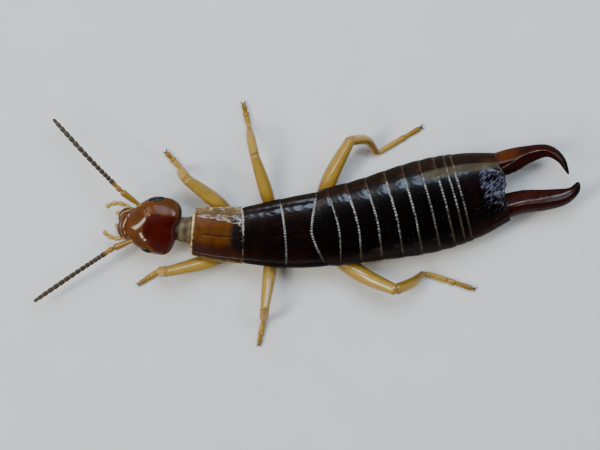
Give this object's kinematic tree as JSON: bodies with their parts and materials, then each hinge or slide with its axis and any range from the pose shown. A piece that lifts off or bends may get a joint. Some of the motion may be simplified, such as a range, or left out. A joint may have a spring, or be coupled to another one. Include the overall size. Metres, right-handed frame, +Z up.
{
  "type": "earwig",
  "caption": "Wingless male earwig at life size in a still walking pose: glossy black-brown flattened body, amber collar plate, pale legs and curved tail forceps.",
  "frame": {"origin": "on the ground under the middle of the animal's outline", "axes": "+X to the tail, +Y to the animal's right side, +Z up"},
  "size_m": [0.0274, 0.0124, 0.0026],
  "materials": {
    "head_shell": "glossy translucent orange-red shell, darker at the rear",
    "amber_shell": "glossy honey-amber shell, dark at its rear edge",
    "brown_shell": "satin red-brown shell",
    "dark_shell": "very glossy black-brown shell with brown flanks",
    "forceps_shell": "glossy mahogany shell, darker to the tips",
    "leg_shell": "glossy translucent pale amber shell",
    "feeler_shell": "matt dark brown with paler joints",
    "soft_skin": "dull pale brown membrane",
    "eye_shell": "glossy black"
  },
  "bodies": {
    "root": {"head": "head_shell", "labrum": "amber_shell", "eye_right": "eye_shell", "antenna_right_scape": "leg_shell", "antenna_right_flagellum": "feeler_shell", "mandible_right": "brown_shell", "palp_maxillary_right": "leg_shell", "palp_labial_right": "leg_shell", "eye_left": "eye_shell", "antenna_left_scape": "leg_shell", "antenna_left_flagellum": "feeler_shell", "mandible_left": "brown_shell", "palp_maxillary_left": "leg_shell", "palp_labial_left": "leg_shell", "neck": "soft_skin", "pronotum": "amber_shell", "prothorax": "brown_shell", "mesonotum": "dark_shell", "mesothorax": "brown_shell", "metanotum": "dark_shell", "metathorax": "brown_shell", "abdomen_01": "dark_shell", "abdomen_02": "dark_shell", "abdomen_03": "dark_shell", "abdomen_04": "dark_shell", "abdomen_05": "dark_shell", "abdomen_06": "dark_shell", "abdomen_07": "dark_shell", "abdomen_08": "dark_shell", "abdomen_09": "dark_shell", "abdomen_10": "dark_shell", "pygidium": "brown_shell", "forceps_right": "forceps_shell", "forceps_left": "forceps_shell", "leg_front_right_coxa": "leg_shell", "leg_front_right_femur": "leg_shell", "leg_front_right_tibia": "leg_shell", "leg_front_right_foot": "leg_shell", "leg_front_left_coxa": "leg_shell", "leg_front_left_femur": "leg_shell", "leg_front_left_tibia": "leg_shell", "leg_front_left_foot": "leg_shell", "leg_middle_right_coxa": "leg_shell", "leg_middle_right_femur": "leg_shell", "leg_middle_right_tibia": "leg_shell", "leg_middle_right_foot": "leg_shell", "leg_middle_left_coxa": "leg_shell", "leg_middle_left_femur": "leg_shell", "leg_middle_left_tibia": "leg_shell", "leg_middle_left_foot": "leg_shell", "leg_hind_right_coxa": "leg_shell", "leg_hind_right_femur": "leg_shell", "leg_hind_right_tibia": "leg_shell", "leg_hind_right_foot": "leg_shell", "leg_hind_left_coxa": "leg_shell", "leg_hind_left_femur": "leg_shell", "leg_hind_left_tibia": "leg_shell", "leg_hind_left_foot": "leg_shell"}
  },
  "joints": []
}
